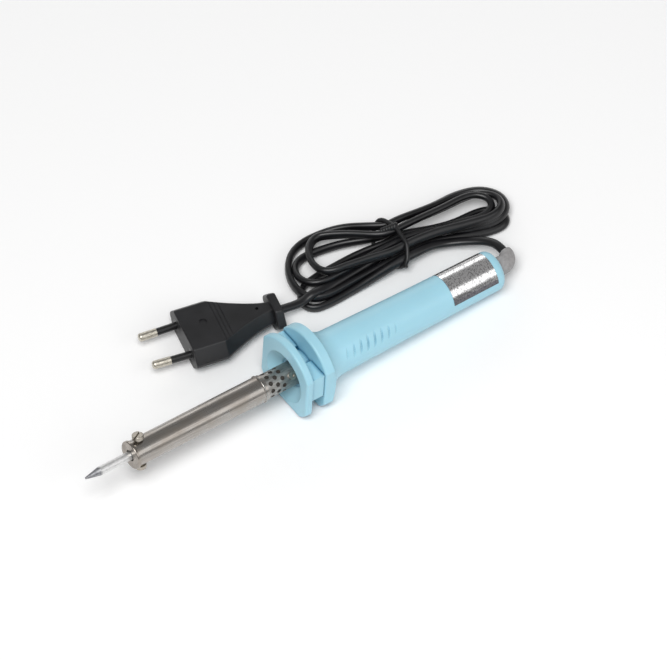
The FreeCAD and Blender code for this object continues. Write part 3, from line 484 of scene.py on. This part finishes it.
def cord_pvc():
    """Flexible PVC sheath, extruded: near black, a soft sheen, faint drag lines and a handling haze."""
    material, tree, shader = new_material("Black flexible PVC, extruded", ior=1.53)
    uv = add(tree, "ShaderNodeUVMap", uv_map="Sheath").outputs["UV"]
    # drag lines 0.5 mm apart round the sheath and some 15 mm long
    drawn = add(tree, "ShaderNodeMapping", {"Vector": uv}, Scale=(66.0, 2000.0, 1.0)).outputs["Vector"]
    drag = add(tree, "ShaderNodeTexNoise", {"Vector": drawn}, Scale=1.0, Detail=3.0)
    place = add(tree, "ShaderNodeTexCoord").outputs["Object"]
    haze = add(tree, "ShaderNodeTexNoise", {"Vector": place}, Scale=90.0, Detail=4.0)
    shade = add(tree, "ShaderNodeValToRGB", {"Fac": haze.outputs["Fac"]},
                stops=((0.3, "#08080A"), (0.7, "#151518")))
    tree.links.new(shade.outputs["Color"], shader.inputs["Base Color"])
    gloss = add(tree, "ShaderNodeMapRange", {"Value": haze.outputs["Fac"]}, To_Min=0.28, To_Max=0.42)
    tree.links.new(gloss.outputs["Result"], shader.inputs["Roughness"])
    bump = add(tree, "ShaderNodeBump", {"Height": drag.outputs["Fac"]}, Strength=0.4, Distance=0.04 * MM)
    tree.links.new(bump.outputs["Normal"], shader.inputs["Normal"])
    return material


class IRON_OT_cord(bpy.types.Operator):
    """Lay the flat twin cord: lead, tied hank and tail, one length"""
    bl_idname = "iron.cord"
    bl_label = "Cord"

    def execute(self, context):
        settings = context.scene.iron_cord
        path = spline_path("Cord line", cord_points())
        piece, length = sweep_flat("mains_cord", path, settings.width, settings.thickness, settings.sides)
        piece.data.materials.append(cord_pvc())
        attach(piece, FIXED_BODY)
        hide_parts("cord_lead", "cord_hank", "cord_tail")
        return {"FINISHED"}


# ---- the tie ----
def bundle_outline(path, station, tilt, reach):
    """Where a band goes round the strands that cross a tilted plane, at this distance from their middles."""
    centre = Vector((station, 0.0, 0.0))
    across = Vector((0.0, 1.0, 0.0))
    up = Vector((math.sin(tilt), 0.0, math.cos(tilt)))
    normal = across.cross(up)
    spots = []
    for start, end in zip(path, path[1:]):
        before = (start - centre).dot(normal)
        after = (end - centre).dot(normal)
        if before * after <= 0.0 and before != after:
            crossing = start.lerp(end, before / (before - after)) - centre
            spots.append((crossing.y, crossing.dot(up)))
    rings = [Vector((y + reach * math.cos(turn * math.pi / 8), height + reach * math.sin(turn * math.pi / 8)))
             for y, height in spots for turn in range(16)]
    return [centre + across * rings[index].x + up * rings[index].y for index in convex_hull_2d(rings)]


def even_steps(outline, count):
    """The same closed outline with its points evenly spaced."""
    closed = outline + outline[:1]
    lengths = path_lengths(closed)
    steps = []
    for step in range(count):
        wanted = lengths[-1] * step / count
        index = max(i for i, length in enumerate(lengths[:-1]) if length <= wanted)
        share = (wanted - lengths[index]) / (lengths[index + 1] - lengths[index])
        steps.append(closed[index].lerp(closed[index + 1], share))
    return steps


def bent_wire(name, points, radius, closed=False):
    """A round wire bent through these points, as a mesh."""
    bpy.ops.object.select_all(action="DESELECT")
    bpy.ops.curve.primitive_nurbs_path_add()
    wire = bpy.context.object
    wire.name = name
    wire.data.splines.clear()
    spline = wire.data.splines.new("NURBS")
    spline.points.add(len(points) - 1)
    for point, place in zip(spline.points, points):
        point.co = (*place, 1.0)
    spline.order_u = 3
    spline.use_cyclic_u = closed
    spline.use_endpoint_u = not closed
    spline.resolution_u = 6
    wire.data.bevel_depth = radius
    wire.data.bevel_resolution = 5
    wire.data.use_fill_caps = not closed
    bpy.ops.object.convert(target="MESH")
    bpy.ops.object.transform_apply(location=True, rotation=True, scale=True)
    bpy.ops.object.mode_set(mode="EDIT")
    bpy.ops.mesh.select_all(action="SELECT")
    bpy.ops.mesh.remove_doubles(threshold=1e-6)
    bpy.ops.mesh.normals_make_consistent(inside=False)
    bpy.ops.object.mode_set(mode="OBJECT")
    bpy.ops.object.shade_smooth_by_angle(angle=math.radians(40.0))
    return wire


class IRON_OT_tie(bpy.types.Operator):
    """Bind the hank with a plastic-coated wire tie, its ends twisted together"""
    bl_idname = "iron.tie"
    bl_label = "Tie"

    def execute(self, context):
        settings = context.scene.iron_cord
        path = spline_path("Cord line", cord_points())
        outline = bundle_outline(path, TIE_STATION, settings.tie_tilt,
                                 0.5 * settings.width + settings.tie_wire)
        band = bent_wire("cord_wire_tie", even_steps(outline, 26), settings.tie_wire, closed=True)
        # the twist starts where the band turns down behind the hank,
        # and points along the hank toward the plug
        foot = max(outline, key=lambda place: place.z + 0.12 * place.y)
        way = Vector((-0.90, 0.36, -0.24)).normalized()
        side = way.cross(Vector((0.0, 0.0, 1.0))).normalized()
        lift = side.cross(way)
        twists = []
        for half in (0.0, math.pi):
            points = []
            for step in range(19):
                angle = half + step * math.pi / 3.0
                swell = settings.tie_wire * (1.15 - 0.03 * step)
                out = swell * (side * math.cos(angle) + lift * math.sin(angle))
                points.append(foot + way * (0.0078 * step / 18.0 - 0.0006) + out)
            twists.append(bent_wire("twist", points, settings.tie_wire))
        low = min(outline, key=lambda place: place.y)
        down = Vector((-0.55, -0.75, -0.30)).normalized()
        end = [low + down * (0.0008 * step) for step in range(-2, 3)]
        twists.append(bent_wire("end", end, settings.tie_wire * 0.9))
        bpy.ops.object.select_all(action="DESELECT")
        for part in (band, *twists):
            part.select_set(True)
        context.view_layer.objects.active = band
        bpy.ops.object.join()
        band.data.materials.append(finish_surface("Black plastic-coated wire", ("#111112", "#1E1E20"),
                                                  (0.35, 0.5), (2.0, 2.0), 0.02, ior=1.5))
        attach(band, FIXED_BODY)
        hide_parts("cord_tie")
        return {"FINISHED"}


# ---- the iron's own parts ----
class IRON_OT_plastics(bpy.types.Operator):
    """Finish the blue handle and guard, and the grey strain relief"""
    bl_idname = "iron.plastics"
    bl_label = "Handle, guard and strain relief"

    def execute(self, context):
        give(blue_nylon(context.scene.iron_finish.blue), "handle_shell", "front_guard")
        # soft PVC, moulded: mid grey and matt, with a slight bloom
        give(finish_surface("Grey PVC, moulded",
                            ("#8C8A8A", "#A09E9E"), (0.48, 0.62), (1.6, 1.6), 0.03, ior=1.53),
             "strain_relief")
        return {"FINISHED"}


class IRON_OT_metals(bpy.types.Operator):
    """Finish the bit, barrel, end cap, vented sleeve, screws and label"""
    bl_idname = "iron.metals"
    bl_label = "Metal parts and label"

    def execute(self, context):
        give(bit_metal(), "bit")
        give(barrel_steel(), "barrel_tube")
        # nickel plate over turned steel: warm grey and glossy, with rings left by the lathe
        give(finish_surface("Nickel-plated steel, turned",
                            ("#8A837C", "#ADA69E"), (0.20, 0.34), (0.3, 5.0), 0.012,
                            metallic=1.0), "end_cap")
        # zinc-nickel plated screws: duller than the cap, a little stained
        give(finish_surface("Plated steel, headed", ("#9A948B", "#C4BDB2"), (0.26, 0.42), (0.9, 0.9), 0.02,
                            metallic=1.0), "set_screw_upper", "set_screw_lower",
             "sleeve_screws", "terminal_screws")
        # thin stainless sheet, pierced and rolled: greyer than the barrel, heat-dulled
        give(finish_surface("Stainless steel, pierced sheet",
                            ("#8B8884", "#B3B0AC"), (0.30, 0.48), (3.0, 0.6), 0.015,
                            metallic=1.0), "mounting_sleeve")
        give(mirror_film(), "foil_label")
        return {"FINISHED"}


class IRON_OT_insides(bpy.types.Operator):
    """Finish the heater, its carrier and the terminals inside the handle"""
    bl_idname = "iron.insides"
    bl_label = "Heater and terminals"

    def execute(self, context):
        # rolled stainless, blued by the heat
        give(finish_surface("Stainless steel, heat-blued",
                            ("#6E6A6C", "#94908E"), (0.32, 0.5), (5.0, 1.0), 0.01,
                            metallic=1.0), "heater_tube")
        # steatite, fired and unglazed: off-white, chalky, faintly speckled
        give(finish_surface("Steatite ceramic, fired",
                            ("#D8CFBE", "#E9E2D4"), (0.6, 0.8), (0.8, 0.8), 0.03, ior=1.6),
             "heater_former")
        # mineral board, baked and matt; its dark brown-grey is painted shade, so that the vents look dark
        give(finish_surface("Baked mineral board, darkened as painted shade",
                            ("#2A2622", "#3D3732"), (0.7, 0.85), (1.0, 1.0), 0.04, ior=1.5),
             "heater_carrier")
        # nickel-chrome wire, drawn: grey-brown with oxide
        give(finish_surface("Nickel-chrome wire, oxidised",
                            ("#5B5450", "#7E766F"), (0.35, 0.55), (0.4, 0.4), 0.02,
                            metallic=1.0), "heater_winding", "heater_lead_wires")
        # mica sheet, split: amber, glossy in flakes
        give(finish_surface("Mica sheet, split",
                            ("#A8936A", "#CBB88E"), (0.15, 0.45), (2.5, 2.0), 0.02, ior=1.58),
             "mica_wrap")
        # woven glass sleeving: matt off-white, its weave 0.6 mm across
        give(finish_surface("Glass fibre sleeving, braided",
                            ("#C9C5B9", "#ECE9DF"), (0.6, 0.85), (0.6, 0.6), 0.08,
                            ior=1.52), "heater_lead_sleeving")
        # natural nylon, moulded: milky, satin
        give(finish_surface("Natural nylon, moulded",
                            ("#D9D8CE", "#EAE9E1"), (0.38, 0.5), (1.2, 1.2), 0.02, ior=1.53),
             "terminal_block")
        # free-cutting brass, turned
        give(finish_surface("Brass, turned",
                            ("#B48E4B", "#D0AC66"), (0.25, 0.4), (0.3, 3.0), 0.01, metallic=1.0),
             "terminal_tubes")
        # PVC insulation, extruded: brown and smooth
        give(finish_surface("Brown PVC, extruded",
                            ("#4A2F22", "#5F3E2D"), (0.3, 0.45), (6.0, 0.5), 0.01, ior=1.53),
             "cord_cores")
        # plated steel ferrule, crimped on the sheath
        give(finish_surface("Plated steel, crimped", ("#8E8A84", "#B5B0A8"), (0.3, 0.45), (1.0, 1.0), 0.02,
                            metallic=1.0), "cord_ferrule")
        # the cord's own sheath where it is held inside the handle
        give(finish_surface("Black flexible PVC, sheath end",
                            ("#121214", "#202023"), (0.3, 0.42), (9.0, 0.5), 0.01,
                            ior=1.53), "cord_sheath_end")
        return {"FINISHED"}


class IRON_OT_plug(bpy.types.Operator):
    """Finish the moulded plug, its pins, their sleeves and collars"""
    bl_idname = "iron.plug"
    bl_label = "Plug"

    def execute(self, context):
        give(plug_pvc(), "plug_body")
        # hard nylon, moulded: deep black, a tighter shine than the body
        give(finish_surface("Black nylon, moulded",
                            ("#0C0C0D", "#161618"), (0.25, 0.38), (1.2, 1.2), 0.015, ior=1.53),
             "plug_collars", "plug_pin_sleeves")
        # brass pins, nickel plated and tumbled: creamy, softly bright, scuffed along by sockets
        give(finish_surface("Nickel-plated brass, scuffed",
                            ("#B0AA9D", "#DAD5C9"), (0.26, 0.44), (2.5, 0.4), 0.015,
                            metallic=1.0), "plug_pins")
        return {"FINISHED"}


# ---- stage ----
def aim(thing, target):
    """Turn a light or camera so that it looks at a point."""
    thing.rotation_mode = "QUATERNION"
    thing.rotation_quaternion = (target - thing.location).to_track_quat("-Z", "Y")


def softbox(name, place, target, size, power):
    light = bpy.data.lights.new(name, "AREA")
    light.shape = "RECTANGLE"
    light.size = size[0]
    light.size_y = size[1]
    light.energy = power
    holder = bpy.data.objects.new(name, light)
    bpy.context.scene.collection.objects.link(holder)
    holder.location = place
    aim(holder, target)
    return holder


class IRON_OT_stage(bpy.types.Operator):
    """Set the floor, the soft lights and the camera"""
    bl_idname = "iron.stage"
    bl_label = "Stage"

    def execute(self, context):
        settings = context.scene.iron_stage
        target = Vector((0.02735, 0.01353, 0.010))
        bpy.ops.object.select_all(action="DESELECT")
        bpy.ops.mesh.primitive_plane_add(size=8.0, location=(0.0, 0.0, 0.0))
        floor = context.object
        floor.name = "Floor"
        material, _, shader = new_material("White paper floor")
        shader.inputs["Base Color"].default_value = linear("#FFFFFF")
        shader.inputs["Roughness"].default_value = 0.9
        shader.inputs["Specular IOR Level"].default_value = 0.1
        floor.data.materials.append(material)

        world = bpy.data.worlds.new("Studio")
        context.scene.world = world
        world.use_nodes = True
        background = world.node_tree.nodes["Background"]
        background.inputs["Color"].default_value = linear("#FFFFFF")
        background.inputs["Strength"].default_value = settings.sky

        # a big soft light overhead, a broad one in front that draws the bright band on metal,
        # a low one behind
        softbox("Key softbox", target + Vector((-0.60, -0.51, 1.51)), target, (1.0, 1.0), settings.key)
        softbox("Front softbox", target + Vector((0.43, -0.90, 0.62)), target, (1.2, 0.6), settings.front)
        softbox("Back softbox", target + Vector((0.47, 1.10, 0.48)), target, (1.2, 0.5), settings.back)

        lens = bpy.data.cameras.new("Camera")
        lens.lens = settings.lens
        lens.clip_start = 0.01
        lens.clip_end = 40.0
        camera = bpy.data.objects.new("Camera", lens)
        context.scene.collection.objects.link(camera)
        level = settings.distance * math.cos(settings.elevation)
        camera.location = target + Vector((level * math.sin(settings.azimuth),
                                           -level * math.cos(settings.azimuth),
                                           settings.distance * math.sin(settings.elevation)))
        aim(camera, target)
        context.scene.camera = camera
        context.scene.view_settings.view_transform = "Standard"
        return {"FINISHED"}


# ---- panel and registration ----
class IRON_PT_panel(bpy.types.Panel):
    """Lists the steps that finish the soldering iron"""
    bl_label = "Soldering Iron"
    bl_idname = "IRON_PT_panel"
    bl_space_type = "VIEW_3D"
    bl_region_type = "UI"
    bl_category = "Iron"

    def draw(self, context):
        for step in STEPS:
            self.layout.operator(step.bl_idname)
        self.layout.prop(context.scene.iron_cord, "width")
        self.layout.prop(context.scene.iron_stage, "elevation")


SETTINGS = {"iron_cord": CordSettings, "iron_stage": StageSettings, "iron_finish": FinishSettings}
STEPS = (IRON_OT_stage, IRON_OT_tie, IRON_OT_cord, IRON_OT_plastics, IRON_OT_metals, IRON_OT_insides,
         IRON_OT_plug)


def register():
    for settings in SETTINGS.values():
        bpy.utils.register_class(settings)
    for name, settings in SETTINGS.items():
        setattr(bpy.types.Scene, name, PointerProperty(type=settings))
    for step in STEPS:
        bpy.utils.register_class(step)
    bpy.utils.register_class(IRON_PT_panel)


def unregister():
    bpy.utils.unregister_class(IRON_PT_panel)
    for step in reversed(STEPS):
        bpy.utils.unregister_class(step)
    for name, settings in SETTINGS.items():
        delattr(bpy.types.Scene, name)
        bpy.utils.unregister_class(settings)


def main():
    register()
    bpy.ops.iron.stage()
    bpy.ops.iron.tie()
    bpy.ops.iron.cord()
    bpy.ops.iron.plastics()
    bpy.ops.iron.metals()
    bpy.ops.iron.insides()
    bpy.ops.iron.plug()


if __name__ == "__main__":
    main()
